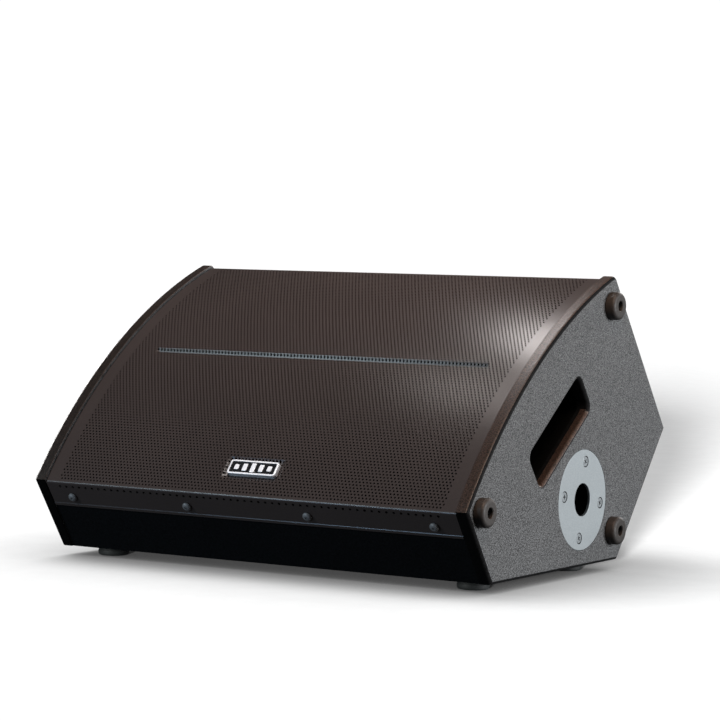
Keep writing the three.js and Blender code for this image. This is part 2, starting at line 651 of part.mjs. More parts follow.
function buildControls() {
  const face = FACE + GAP;
  const skirt = [
    [0, -6], [3, -6], [3, face + 0.6], [10, face + 0.6],
    [9.4, face + 3], [8, face + 4], [7.4, face + 15], [0, face + 15],
  ];
  const groove = box(-0.6, 0.6, 3, 9, face + 13.5, face + 16);
  const knob = cut(turned(skirt, 28), [groove]);
  add(rear, 'level_knob', knob, M.plastic, KNOB_AT.x, KNOB_AT.y, 0);

  const button = [
    [0, -4], [BUTTON_RADIUS, -4], [BUTTON_RADIUS, face + 4],
    [BUTTON_RADIUS - 1, face + 5], [0, face + 5],
  ];
  add(rear, 'ground_lift_button', turned(button, 18), M.plastic, BUTTON_AT.x, BUTTON_AT.y, 0);

  const lens = [[0, -3], [2.5, -3], [2.5, face], [1.8, face + 1.3], [0, face + 1.8]];
  add(rear, 'status_lens', turned(lens, 14), M.lens, LED_AT.x, LED_AT.y, 0);

  const frame = prism(roundedRectangle(0, 0, 32, 25, 2), face, face + 2, 3);
  const sleeve = box(-13, 13, -9.5, 9.5, -16, face + 1);
  const window = box(-11, 11, -8, 8, -14, face + 3);
  const rockerFrame = cut(join([frame, sleeve]), [window]);
  add(rear, 'power_switch_frame', rockerFrame, M.plastic, SWITCH_AT.x, SWITCH_AT.y, 0);

  const tilt = THREE.MathUtils.degToRad(8);
  const paddle = polygon([[-7.2, -3], [7.2, -3], [7.2, 3.5], [0, 2.2], [-7.2, 3.5]]);
  const rocker = prism(paddle, -10.5, 10.5).rotateX(Math.PI / 2).rotateZ(Math.PI / 2);
  const mesh = add(rear, 'power_rocker', rocker, M.plastic, SWITCH_AT.x, SWITCH_AT.y, face + 0.5);
  mesh.rotation.x = tilt;
}

buildSidePanels();
buildPanels();
buildBaffle();
buildHandleCups();
buildGrille();
buildDriver();
buildPorts();
buildPoleSocket();
buildBumpers();
buildFeet();
buildAmpPanel();
buildHeatsink();
buildSockets();
buildControls();

// The origin is on the floor, under the middle of the whole object's footprint.
const bounds = new THREE.Box3().setFromObject(wedge, true);
const middle = bounds.getCenter(new THREE.Vector3());
wedge.position.set(-middle.x, -middle.y, 0);

const group = new THREE.Group();
group.add(wedge);

export default group;
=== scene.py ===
"""Looks for the stage monitor wedge: grille, textured cabinet, pole socket, bumpers, feet and amplifier.

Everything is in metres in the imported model's frame. The cabinet's profile is drawn in (u, v): u runs up
along the chord of the curved face, v out of it, from the front bottom corner of the side panels.
"""

import math

import bpy
import numpy as np
from mathutils import Matrix, Vector
from mathutils.geometry import tessellate_polygon


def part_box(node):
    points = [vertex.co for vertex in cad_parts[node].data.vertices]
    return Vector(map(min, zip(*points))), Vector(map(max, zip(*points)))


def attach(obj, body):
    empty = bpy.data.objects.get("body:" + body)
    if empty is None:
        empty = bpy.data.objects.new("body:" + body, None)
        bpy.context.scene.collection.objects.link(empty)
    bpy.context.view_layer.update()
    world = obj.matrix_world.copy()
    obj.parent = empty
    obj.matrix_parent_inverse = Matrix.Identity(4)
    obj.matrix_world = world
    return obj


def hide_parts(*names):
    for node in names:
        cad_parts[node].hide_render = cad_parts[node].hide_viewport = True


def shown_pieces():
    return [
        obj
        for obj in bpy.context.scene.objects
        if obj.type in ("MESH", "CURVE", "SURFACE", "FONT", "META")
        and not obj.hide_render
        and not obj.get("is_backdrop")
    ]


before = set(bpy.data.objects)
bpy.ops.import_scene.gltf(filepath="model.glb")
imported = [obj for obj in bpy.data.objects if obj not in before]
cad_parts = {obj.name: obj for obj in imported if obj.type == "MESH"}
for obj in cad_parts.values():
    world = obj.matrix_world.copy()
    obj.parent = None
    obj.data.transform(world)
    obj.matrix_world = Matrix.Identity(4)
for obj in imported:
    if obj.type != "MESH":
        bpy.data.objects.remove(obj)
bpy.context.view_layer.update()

# ---------------------------------------------------------------- sizes, in metres
MM = 0.001
SLOPE = math.radians(36.5)
FRONT_LEAN = math.radians(3)
ARC_CENTRE = (206 * MM, -535 * MM)
ARC_RADIUS = 661 * MM
BACK_U = 405 * MM
REAR_CORNER = (BACK_U, -124 * MM)
BOTTOM_LENGTH = 285 * MM
BACK_CORNER_RADIUS = 8 * MM
PLY = 15 * MM
EDGE_RADIUS = 4.5 * MM

GRILLE_DROP = 3.5 * MM
SHEET = 1.2 * MM
HOLE_PITCH = 4.45 * MM
ROW_PITCH = HOLE_PITCH * math.sqrt(3) / 2
HOLE_RADIUS = 1.22 * MM
FLANGE_HOLE_RADIUS = 1.45 * HOLE_RADIUS
WALL_HOLE = {"radius": 1.5 * MM, "lift": 0.4 * MM}
HALF_COLUMNS = 112
SAME = 1e-6  # distances along the sheet that are closer than this are the same line
GROOVE = {"u": 207 * MM, "half_length": 219 * MM, "depth": 3.6 * MM}
BADGE = {"u": 41 * MM, "width": 62 * MM, "height": 18 * MM, "deep": 5 * MM, "proud": 1.6 * MM}
BADGE_BAR = {"pitch": 10.6 * MM, "width": 5.4 * MM, "height": 11.6 * MM}
BADGE_BAR_SHARES = (0.55, 0.78, 1.0, 0.78, 0.55)
POCKET = {
    "depth": 3.4 * MM,
    "margin": 6 * MM,
    "upper_margin": 1.6 * MM,
    "side_ramp": 4.5 * MM,
    "ramp": 5 * MM,
}
FLANGE_LIP = 58 * MM
FLANGE_HEM = [(0, 1.3 * MM), (1 * MM, -0.35 * MM), (4.2 * MM, -0.35 * MM), (4.8 * MM, 0.1 * MM)]
FLANGE_SCREW_UP = 72.5 * MM
FOAM_DEPTHS = (6 * MM, 9 * MM)

HANDLE = {"u": 206 * MM, "v": 35 * MM, "length": 144 * MM, "height": 54 * MM, "radius": 11 * MM}
DISC = {"u": 203 * MM, "v": -59 * MM, "radius": 55 * MM, "bore": 18 * MM, "pitch": 42 * MM, "sheet": 3 * MM}
SOCKET_TUBE = {"wall": 2 * MM, "depth": 95 * MM}

AMP_V = -38 * MM
AMP_FACE = 3.1 * MM  # the amplifier panel's outer face and the clearance gap over it
AMP_SCREW_AT = (144.5 * MM, 64.5 * MM)
KNOB_AT = (102 * MM, 30 * MM)
SOCKETS = {"input": (14 * MM, 30 * MM), "link": (52 * MM, 30 * MM), "mains": (50 * MM, -34 * MM)}
FRAMES = {
    "signal": ((-3 * MM, 7 * MM), (70 * MM, 56 * MM)),
    "level": ((76 * MM, 7 * MM), (129 * MM, 56 * MM)),
    "mains": ((16 * MM, -57 * MM), (129 * MM, -11 * MM)),
}

left_lo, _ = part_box("side_panel_left")
right_lo, right_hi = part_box("side_panel_right")
MID_X = (left_lo.x + right_hi.x) / 2
HALF = (right_hi.x - left_lo.x) / 2


# ---------------------------------------------------------------- the (u, v) profile
def arc_v(u, drop=0.0):
    """Height of the curved face over the chord."""
    return ARC_CENTRE[1] + math.sqrt((ARC_RADIUS - drop) ** 2 - (u - ARC_CENTRE[0]) ** 2)


def front_point(along, inset=0.0):
    """A point on the front edge, so far up from the bottom corner and so far inside."""
    return (
        along * math.sin(FRONT_LEAN) + inset * math.cos(FRONT_LEAN),
        along * math.cos(FRONT_LEAN) - inset * math.sin(FRONT_LEAN),
    )


def front_on_arc(inset=0.0, drop=0.0):
    """Where the front edge meets the curved face."""
    low, high = 0.0, 0.2
    for _ in range(50):
        middle = (low + high) / 2
        u, v = front_point(middle, inset)
        low, high = (middle, high) if v < arc_v(u, drop) else (low, middle)
    return low


top_u, top_v = front_point(front_on_arc())
CORNER = Vector((MID_X, right_lo.y - (top_u * math.cos(SLOPE) - top_v * math.sin(SLOPE)), right_lo.z))
AXIS_U = Vector((0, math.cos(SLOPE), math.sin(SLOPE)))
AXIS_V = Vector((0, -math.sin(SLOPE), math.cos(SLOPE)))


def place(x, u, v):
    """The point at (u, v) in the side profile, x to the right of the middle."""
    return CORNER + Vector((x, 0, 0)) + AXIS_U * u + AXIS_V * v


def axes(origin, right, up, out):
    """A matrix whose local X, Y and Z are the directions given."""
    matrix = Matrix((right, up, out)).transposed().to_4x4()
    matrix.translation = origin
    return matrix


# ---------------------------------------------------------------- outlines
def arc_points(cx, cy, radius, start, end, steps):
    angles = [math.radians(start + (end - start) * i / steps) for i in range(steps + 1)]
    return [(cx + radius * math.cos(a), cy + radius * math.sin(a)) for a in angles]


def circle(cx, cy, radius, steps=64):
    return arc_points(cx, cy, radius, 0, 360, steps)[:-1]


def rounded_rectangle(cx, cy, width, height, radius, steps=8):
    x, y = width / 2 - radius, height / 2 - radius
    points = []
    for i, (sx, sy) in enumerate([(1, 1), (-1, 1), (-1, -1), (1, -1)]):
        points += arc_points(cx + sx * x, cy + sy * y, radius, 90 * i, 90 * i + 90, steps)
    return points


def cross(cx, cy, reach, half_width):
    r, h = reach, half_width
    corners = [(r, -h), (r, h), (h, h), (h, r), (-h, r), (-h, h)]
    corners += [(-x, -y) for x, y in corners]
    return [(cx + x, cy + y) for x, y in corners]


def grown(points, distance):
    """The outline moved outward by distance, corners mitred."""
    p = np.array(points)
    ahead = np.roll(p, -1, axis=0) - p
    ahead /= np.linalg.norm(ahead, axis=1)[:, None]
    normal = np.stack([ahead[:, 1], -ahead[:, 0]], axis=1)
    before = np.roll(normal, 1, axis=0)
    miter = normal + before
    miter /= np.sum(miter * normal, axis=1)[:, None]
    return p + distance * miter


def side_outline():
    corner_u = BACK_U - BACK_CORNER_RADIUS
    inner = ARC_RADIUS - BACK_CORNER_RADIUS
    turn = math.degrees(math.acos((corner_u - ARC_CENTRE[0]) / inner))
    corner_v = ARC_CENTRE[1] + inner * math.sin(math.radians(turn))
    top = front_point(front_on_arc())
    end = math.degrees(math.atan2(top[1] - ARC_CENTRE[1], top[0] - ARC_CENTRE[0]))
    corner_b = (BOTTOM_LENGTH * math.cos(SLOPE), -BOTTOM_LENGTH * math.sin(SLOPE))
    points = [(0, 0), corner_b, REAR_CORNER]
    points += arc_points(corner_u, corner_v, BACK_CORNER_RADIUS, 0, turn, 8)
    points += arc_points(*ARC_CENTRE, ARC_RADIUS, turn, end, 64)[1:]
    return points


# ---------------------------------------------------------------- meshes
def rounding(radius, steps=5):
    """Profile of a rounded rim: (inset, depth) pairs from the face down to the side."""
    turns = [math.pi / 2 * (1 - i / steps) for i in range(steps + 1)]
    return [(radius * (1 - math.cos(a)), radius * (1 - math.sin(a))) for a in turns]


def back_rounding(radius, depth, steps=2):
    """The same rim at the back of a plate that is depth thick, from the side on to the back."""
    return [(inset, depth - down) for inset, down in reversed(rounding(radius, steps=steps))]


class Plate:
    """A plate built from an outline and holes, each with its own rim profile, face up along +Z."""

    def __init__(self, outline, profile, rim=0):
        self.verts, self.faces, self.slots = [], [], []
        self.front, self.back = [], []
        self._wall(outline, profile, -1, rim)

    def _ring(self, points, depth):
        start = len(self.verts)
        self.verts += [Vector((x, y, -depth)) for x, y in points]
        return list(range(start, start + len(points)))

    def _wall(self, points, profile, sign, slot, blind=None):
        rings = [self._ring(grown(points, sign * inset), depth) for inset, depth in profile]
        slots = slot if isinstance(slot, list) else [slot] * len(rings)
        for upper, lower, slot in zip(rings, rings[1:], slots):
            for i in range(len(upper)):
                j = (i + 1) % len(upper)
                face = [upper[i], lower[i], lower[j], upper[j]]
                self.faces.append(face if sign < 0 else face[::-1])
                self.slots.append(slot)
        self.front.append(rings[0])
        if blind is None:
            self.back.append(rings[-1])
        else:
            self._cap([rings[-1]], False, blind)

    def _cap(self, rings, down, slot):
        flat = [i for ring in rings for i in ring]
        for triangle in tessellate_polygon([[self.verts[i] for i in ring] for ring in rings]):
            a, b, c = (flat[i] for i in triangle)
            pa, pb, pc = (self.verts[i] for i in (a, b, c))
            up = (pb - pa).cross(pc - pa).z > 0
            self.faces.append((a, b, c) if up != down else (a, c, b))
            self.slots.append(slot)

    def hole(self, outline, profile, slot=0, blind=None):
        self._wall(outline, profile, 1, slot, blind)
        return self

    def close(self, slot=0):
        self._cap(self.front, False, slot)
        self._cap(self.back, True, slot)
        return self


HEAVY_MESH = 20000


def build(name, verts, faces, materials, slots=None, matrix=None, body="cabinet", sharp=32):
    """Makes a piece from vertices and faces, sharp where faces turn by more than sharp degrees."""
    mesh = bpy.data.meshes.new(name)
    if matrix is not None:
        verts = [matrix @ Vector(v) for v in verts]
    mesh.from_pydata([tuple(v) for v in verts], [], [tuple(f) for f in faces])
    for material in materials:
        mesh.materials.append(material)
    if slots is not None:
        mesh.polygons.foreach_set("material_index", slots)
    mesh.validate()
    mesh.shade_smooth()
    mesh.set_sharp_from_angle(angle=math.radians(sharp))
    piece = bpy.data.objects.new(name, mesh)
    bpy.context.scene.collection.objects.link(piece)
    if len(faces) < HEAVY_MESH:
        normals = piece.modifiers.new("normals", "WEIGHTED_NORMAL")
        normals.keep_sharp = True
    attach(piece, body)
    return piece


def build_plate(name, plate, materials, matrix, body="cabinet"):
    return build(name, plate.verts, plate.faces, materials, plate.slots, matrix, body)


def turned(name, profile, materials, matrix, segments=64, body="cabinet", flutes=None):
    """A closed (radius, height) profile turned about local Z. flutes gives a point's radius factor."""
    verts, faces = [], []
    count = len(profile)
    for i in range(segments):
        angle = 2 * math.pi * i / segments
        for radius, height in profile:
            scale = flutes(angle, radius, height) if flutes else 1.0
            verts.append((radius * scale * math.cos(angle), radius * scale * math.sin(angle), height))
    for i in range(segments):
        for k in range(count):
            a, b = i * count + k, i * count + (k + 1) % count
            j = (i + 1) % segments
            c, d = j * count + (k + 1) % count, j * count + k
            if profile[k][0] == 0 and profile[(k + 1) % count][0] == 0:
                continue
            faces.append((d, c, b, a))
    return build(name, verts, faces, materials, None, matrix, body)


# ---------------------------------------------------------------- materials
def material(name, dark, light, rough, grain=600, contrast=(0.35, 0.65), metallic=0.0, specular=0.5,
             bump=0.0, bump_grain=None, mottle=0.15, coat=0.0):
    """A procedural surface: grain between two colours, slow mottling over it, roughness and relief.

    grain and bump_grain are features per metre, bump is the relief's height in metres.
    """
    made = bpy.data.materials.new(name)
    made.use_nodes = True
    nodes, links = made.node_tree.nodes, made.node_tree.links
    shader = nodes["Principled BSDF"]
    shader.inputs["Metallic"].default_value = metallic
    shader.inputs["Specular IOR Level"].default_value = specular
    shader.inputs["Coat Weight"].default_value = coat
    shader.inputs["Coat Roughness"].default_value = 0.3
    place_node = nodes.new("ShaderNodeTexCoord").outputs["Object"]

    def noise(scale, detail):
        node = nodes.new("ShaderNodeTexNoise")
        node.inputs["Scale"].default_value = scale
        node.inputs["Detail"].default_value = detail
        links.new(place_node, node.inputs["Vector"])
        return node.outputs["Fac"]

    fine = noise(grain, 3)
    ramp = nodes.new("ShaderNodeValToRGB")
    ramp.color_ramp.elements[0].position, ramp.color_ramp.elements[1].position = contrast
    ramp.color_ramp.elements[0].color = (*dark, 1)
    ramp.color_ramp.elements[1].color = (*light, 1)
    links.new(fine, ramp.inputs["Fac"])
    shade = nodes.new("ShaderNodeMapRange")
    shade.inputs["To Min"].default_value = 1 - mottle
    shade.inputs["To Max"].default_value = 1 + mottle
    links.new(noise(9, 4), shade.inputs["Value"])
    mix = nodes.new("ShaderNodeVectorMath")
    mix.operation = "SCALE"
    links.new(ramp.outputs["Color"], mix.inputs[0])
    links.new(shade.outputs["Result"], mix.inputs["Scale"])
    links.new(mix.outputs["Vector"], shader.inputs["Base Color"])

    gloss = nodes.new("ShaderNodeMapRange")
    gloss.inputs["From Min"].default_value, gloss.inputs["From Max"].default_value = 0.3, 0.7
    gloss.inputs["To Min"].default_value, gloss.inputs["To Max"].default_value = rough
    links.new(noise(grain * 0.3, 3), gloss.inputs["Value"])
    links.new(gloss.outputs["Result"], shader.inputs["Roughness"])

    if bump:
        relief = nodes.new("ShaderNodeBump")
        relief.inputs["Strength"].default_value = 1.0
        relief.inputs["Distance"].default_value = bump
        links.new(noise(bump_grain or grain, 3), relief.inputs["Height"])
        links.new(relief.outputs["Normal"], shader.inputs["Normal"])
    return made


def shade_near_things(surface, reach, least):
    """Darkens the surface, down to least, where things within reach hide the sky from it."""
    nodes, links = surface.node_tree.nodes, surface.node_tree.links
    shader = nodes["Principled BSDF"]
    colour = shader.inputs["Base Color"].links[0].from_socket
    open_sky = nodes.new("ShaderNodeAmbientOcclusion")
    open_sky.inputs["Distance"].default_value = reach
    share = nodes.new("ShaderNodeMapRange")
    share.inputs["To Min"].default_value = least
    links.new(open_sky.outputs["AO"], share.inputs["Value"])
    dimmed = nodes.new("ShaderNodeVectorMath")
    dimmed.operation = "SCALE"
    links.new(colour, dimmed.inputs[0])
    links.new(share.outputs["Result"], dimmed.inputs["Scale"])
    links.new(dimmed.outputs["Vector"], shader.inputs["Base Color"])


PAINT = material("textured_paint", (0.012, 0.0125, 0.013), (0.135, 0.137, 0.14), (0.55, 0.8),
                 grain=800, contrast=(0.40, 0.62), bump=0.0005, bump_grain=700, specular=0.3)
# The rims' copy of the face paint, browner and glossier: its brown tint is a painted warm light.
EDGE_PAINT_WARM_LIT = material("textured_paint_edge", (0.018, 0.012, 0.009), (0.125, 0.07, 0.05), (0.34, 0.48),
                      grain=800, contrast=(0.38, 0.66), bump=0.0003, bump_grain=600, specular=0.75)
# Black paint of the front panel and baffle; also painted shade on the side panels' rims, the socket plate's
# countersinks and screw recesses.
BLACK_PAINT_AND_SHADE = material("black_paint", (0.004, 0.004, 0.0042), (0.010, 0.010, 0.0105), (0.6, 0.85),
                       grain=520, bump=0.0003, specular=0.1)
GRILLE_PAINT = material("grille_powder_coat", (0.066, 0.047, 0.041), (0.086, 0.063, 0.056), (0.29, 0.31),
                        grain=1500, bump=0.00003, bump_grain=1800, specular=0.5)
FOAM = material("acoustic_foam", (0.0015, 0.0015, 0.0015), (0.006, 0.006, 0.006), (0.95, 1.0),
                grain=900, bump=0.0004, specular=0.02)
RUBBER = material("moulded_rubber", (0.0155, 0.013, 0.012), (0.026, 0.023, 0.021), (0.5, 0.7),
                  grain=900, bump=0.00006, bump_grain=1400, specular=0.4)
FOOT_RUBBER = material("foot_rubber", (0.016, 0.018, 0.018), (0.026, 0.028, 0.028), (0.5, 0.7),
                       grain=900, bump=0.00006, specular=0.3)
ZINC = material("zinc_plate", (0.265, 0.287, 0.297), (0.305, 0.33, 0.34), (0.5, 0.62),
                grain=700, metallic=0.35, bump=0.00001, mottle=0.05, specular=0.4)
SCREW_ZINC = material("screw_zinc", (0.25, 0.27, 0.28), (0.30, 0.32, 0.33), (0.4, 0.5),
                      grain=900, metallic=0.5, bump=0.00001, mottle=0.05)
SCREW_BLACK = material("screw_steel", (0.03, 0.032, 0.035), (0.06, 0.062, 0.066), (0.35, 0.5),
                       grain=900, metallic=0.6, bump=0.00001)
FLANGE_SCREW = material("painted_screw", (0.26, 0.24, 0.23), (0.34, 0.32, 0.31), (0.45, 0.6),
                        grain=900, metallic=0.2, bump=0.00001)
BADGE_METAL = material("badge_metal", (0.78, 0.76, 0.77), (0.86, 0.84, 0.85), (0.32, 0.4),
                       grain=900, metallic=0.25, mottle=0.04)
BADGE_BLACK = material("badge_black", (0.004, 0.004, 0.005), (0.008, 0.008, 0.009), (0.25, 0.35), grain=900)
PLASTIC = material("black_plastic", (0.008, 0.008, 0.009), (0.014, 0.014, 0.015), (0.4, 0.55),
                   grain=1200, bump=0.00003, bump_grain=1500, specular=0.4)
# Black plastic of the handle cups and socket tube, darkened further as painted shade for the recesses it
# lines.
CUP_PLASTIC_AND_SHADE = material("cup_plastic", (0.002, 0.002, 0.002), (0.004, 0.004, 0.004), (0.6, 0.8),
               grain=1200, bump=0.00003, specular=0.1)
CONE = material("coated_paper", (0.012, 0.012, 0.013), (0.03, 0.03, 0.031), (0.7, 0.9),
                grain=500, bump=0.0001)
CAST = material("cast_alloy", (0.02, 0.02, 0.022), (0.035, 0.035, 0.038), (0.4, 0.6),
                grain=600, metallic=0.3, bump=0.00005)
FERRITE = material("ferrite", (0.04, 0.04, 0.042), (0.07, 0.07, 0.073), (0.5, 0.7), grain=700, bump=0.00004)
COPPER = material("copper_wire", (0.5, 0.22, 0.1), (0.65, 0.32, 0.16), (0.25, 0.4),
                  grain=1500, metallic=0.9)
CLOTH = material("varnished_cloth", (0.3, 0.2, 0.08), (0.5, 0.36, 0.16), (0.7, 0.9),
                 grain=1100, bump=0.0001)
AMP_COAT = material("amp_powder_coat", (0.012, 0.013, 0.014), (0.022, 0.023, 0.025), (0.45, 0.6),
                    grain=1100, bump=0.00006, bump_grain=1300, specular=0.45)
BOARD = material("solder_mask", (0.01, 0.07, 0.03), (0.02, 0.12, 0.05), (0.3, 0.45), grain=800)
MARK = material("white_marking", (0.62, 0.62, 0.62), (0.72, 0.72, 0.72), (0.5, 0.6), grain=900, mottle=0.04)
LENS = material("green_lens", (0.02, 0.3, 0.08), (0.04, 0.42, 0.12), (0.08, 0.14), grain=500, coat=0.6)
FLOOR = material("floor_paper", (0.80, 0.80, 0.80), (0.82, 0.82, 0.82), (0.9, 1.0),
                 grain=30, mottle=0.01, specular=0.0)
shade_near_things(FLOOR, 0.24, 0.08)


def dress(node, surface, bevel=0.0):
    """Gives a CAD node its material, soft edges of that radius and smooth shading across them."""
    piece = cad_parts[node]
    piece.data.materials.clear()
    piece.data.materials.append(surface)
    piece.data.shade_smooth()
    piece.data.set_sharp_from_angle(angle=math.radians(32))
    if bevel:
        soften = piece.modifiers.new("edges", "BEVEL")
        soften.width = bevel
        soften.segments = 2
        soften.limit_method = "ANGLE"
        soften.angle_limit = math.radians(40)
    normals = piece.modifiers.new("normals", "WEIGHTED_NORMAL")
    normals.keep_sharp = True


def stands_for(piece, node):
    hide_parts(node)


# ---------------------------------------------------------------- cabinet
def side_matrix(side, u=0.0, v=0.0):
    """Local X along u (on the left side against it) and Y along v, with +Z out of that side."""
    if side > 0:
        return axes(place(HALF, u, v), AXIS_U, AXIS_V, Vector((1, 0, 0)))
    return axes(place(-HALF, u, v), -AXIS_U, AXIS_V, Vector((-1, 0, 0)))


def is_painted_shade_rim(middle):
    """Rim faces painted black as shade where light doesn't reach: below the grille's fold and along the
    bottom, and at the upper end of the slot.
    """
    below_fold = middle.y < 91 * MM and abs(middle.x) < 15 * MM + max(0, -middle.y) * 1.4
    past_end = abs(middle.x) - (HANDLE["u"] + HANDLE["length"] / 2 - 9 * MM)
    in_slot_end = abs(middle.y - HANDLE["v"]) < 28 * MM and 0 < past_end < 12 * MM
    return below_fold or in_slot_end


def build_side_panel(side):
    """Painted plywood. Slot 0 is the paint of the face, 1 a glossier, browner copy of it on the rims, its
    brown a painted warm light, 2 black as painted shade on the rims.
    """
    rim = rounding(EDGE_RADIUS, steps=6) + back_rounding(1.2 * MM, PLY)
    # the three rounding faces next to the face are black: a painted dark shade line along the edge
    rim_slots = [0, 2, 2, 2] + [1] * (len(rim) - 5)
    lip = rounding(EDGE_RADIUS, steps=6) + [(0, 10.5 * MM), (0, PLY)]
    # black next to the face and deep in the slot: painted shade
    lip_slots = [0, 2] + [1] * (len(lip) - 4) + [2]
    length, height = HANDLE["length"] - 2 * EDGE_RADIUS, HANDLE["height"] - 2 * EDGE_RADIUS
    corner = HANDLE["radius"] - EDGE_RADIUS / 2
    outline = side_outline()
    slot_hole = rounded_rectangle(HANDLE["u"], HANDLE["v"], length, height, corner)
    if side < 0:
        outline = [(-u, v) for u, v in reversed(outline)]
        slot_hole = [(-u, v) for u, v in reversed(slot_hole)]
    plate = Plate(outline, rim, rim=rim_slots).hole(slot_hole, lip, slot=lip_slots)
    if side > 0:
        gap = 0.4 * MM
        plate.hole(circle(DISC["u"], DISC["v"], DISC["radius"] + gap, 96), [(0, 0), (0, PLY)])
    plate.close()
    # rim faces where shade falls get the black slot: painted shade
    for i, face in enumerate(plate.faces):
        middle = sum((plate.verts[k] for k in face), Vector()) / len(face)
        if plate.slots[i] == 1 and is_painted_shade_rim(middle):
            plate.slots[i] = 2
    name = "side_panel_right" if side > 0 else "side_panel_left"
    piece = build_plate(f"painted_{name}", plate, [PAINT, EDGE_PAINT_WARM_LIT, BLACK_PAINT_AND_SHADE], side_matrix(side))
    stands_for(piece, name)


def build_cabinet():
    for side in (1, -1):
        build_side_panel(side)
    dress("front_panel", BLACK_PAINT_AND_SHADE, 0.8 * MM)
    for node in ("bottom_panel", "rear_lower_panel", "rear_upper_panel"):
        dress(node, PAINT, 0.8 * MM)
    dress("baffle_board", BLACK_PAINT_AND_SHADE)
    # handle cups: black plastic, darkened as painted shade inside the recess
    for node in ("handle_cup_left", "handle_cup_right"):
        dress(node, CUP_PLASTIC_AND_SHADE, 0.8 * MM)


# ---------------------------------------------------------------- grille
class Sheet:
    """The grille in the side profile, by distance along it from the front flange's lower lip."""

    def __init__(self):
        inset = 1.0 * MM
        drop = GRILLE_DROP
        fold = front_on_arc(inset, drop)
        radius = 2.2 * MM
        self.points = [self._edge(FLANGE_LIP + along, inset + deep) for along, deep in FLANGE_HEM]
        self.points.append(self._edge(fold - radius, inset))
        corner = Vector(front_point(fold, inset))
        start = self.points[-1]
        run = corner.x + radius
        end = Vector((run, arc_v(run, drop)))
        for i in range(1, 6):
            t = i / 6
            self.points.append(start * (1 - t) ** 2 + corner * 2 * t * (1 - t) + end * t**2)
        self.points.append(end)
        self.fold_end = len(self.points) - 1
        back = BACK_U - inset - 6 * MM
        steps = 200
        for i in range(1, steps + 1):
            u = run + (back - run) * i / steps
            self.points.append(Vector((u, arc_v(u, drop))))
        last = self.points[-1]
        turn = Vector((BACK_U - inset, arc_v(BACK_U - inset, drop)))
        down = Vector((BACK_U - inset, turn.y - 6 * MM))
        for i in range(1, 7):
            t = i / 6
            self.points.append(last * (1 - t) ** 2 + turn * 2 * t * (1 - t) + down * t**2)
        self.points.append(Vector((BACK_U - inset, turn.y - 26 * MM)))
        gaps = [0.0] + [(b - a).length for a, b in zip(self.points, self.points[1:])]
        self.reach = np.cumsum(gaps)
        self.us = np.array([p.x for p in self.points])
        self.vs = np.array([p.y for p in self.points])

    @staticmethod
    def _edge(along, inset):
        return Vector(front_point(along, inset))

    def at(self, s):
        return np.interp(s, self.reach, self.us), np.interp(s, self.reach, self.vs)

    def normal(self, s):
        step = 0.3 * MM
        u0, v0 = self.at(s - step)
        u1, v1 = self.at(s + step)
        along = np.stack([u1 - u0, v1 - v0])
        along /= np.linalg.norm(along, axis=0)
        return -along[1], along[0]

    def find(self, u):
        """Distance along the sheet at which its curved face reaches u."""
        return float(np.interp(u, self.us[self.fold_end:-8], self.reach[self.fold_end:-8]))

    def pocket_wall(self):
        """Where the row of holes that makes the upper wall of the badge's pocket starts."""
        groove_s = self.find(GROOVE["u"])
        wanted = self.find(BADGE["u"]) + BADGE["height"] / 2 + POCKET["upper_margin"]
        return groove_s - round((groove_s - wanted) / ROW_PITCH) * ROW_PITCH


def pressed(x, s, sheet):
    """How deep the sheet is pressed in: a groove across the middle and a pocket round the badge."""
    groove_s = sheet.find(GROOVE["u"])
    across = np.clip(1 - np.abs(s - groove_s) / (ROW_PITCH * 1.02), 0, 1)
    end = np.clip((GROOVE["half_length"] - np.abs(x)) / (2 * MM), 0, 1)
    groove = GROOVE["depth"] * across * end
    bottom = sheet.find(BADGE["u"]) - BADGE["height"] / 2 - POCKET["margin"]
    in_x = np.clip((BADGE["width"] / 2 + POCKET["margin"] - np.abs(x)) / POCKET["side_ramp"], 0, 1)
    above = np.clip((s - bottom) / POCKET["ramp"], 0, 1)
    below = np.clip((sheet.pocket_wall() + ROW_PITCH - s) / ROW_PITCH, 0, 1)
    return np.maximum(groove, POCKET["depth"] * in_x * below * above)


def build_grille():
    """The perforated sheet in two halves: staggered rows of six-sided holes, each with its own wall."""
    sheet = Sheet()
    groove_s = sheet.find(GROOVE["u"])
    first = sheet.reach[sheet.fold_end] + 0.8 * MM
    rows_below = int((groove_s - first) / ROW_PITCH)
    last = sheet.reach[-8] - 1 * MM
    rows_above = int((last - groove_s) / ROW_PITCH)
    lines = [groove_s + ROW_PITCH * j for j in range(-rows_below, rows_above + 1)]
    edge_x = HALF - PLY - 0.6 * MM
    columns = np.arange(-HALF_COLUMNS, HALF_COLUMNS + 1) * HOLE_PITCH / 2
    flange_top = sheet.reach[4] - 1.2 * MM
    flange_rows = [(flange_top - ROW_PITCH, flange_top)]
    halves = {
        "grille_lower": (flange_rows + list(zip(lines, lines[1:]))[:rows_below], sheet.reach[0], groove_s),
        "grille_upper": (list(zip(lines, lines[1:]))[rows_below:], groove_s, sheet.reach[-1]),
    }
    for name, (rows, start, stop) in halves.items():
        piece = build_perforated(name, sheet, rows, start, stop, columns, edge_x)
        stands_for(piece, "grille")


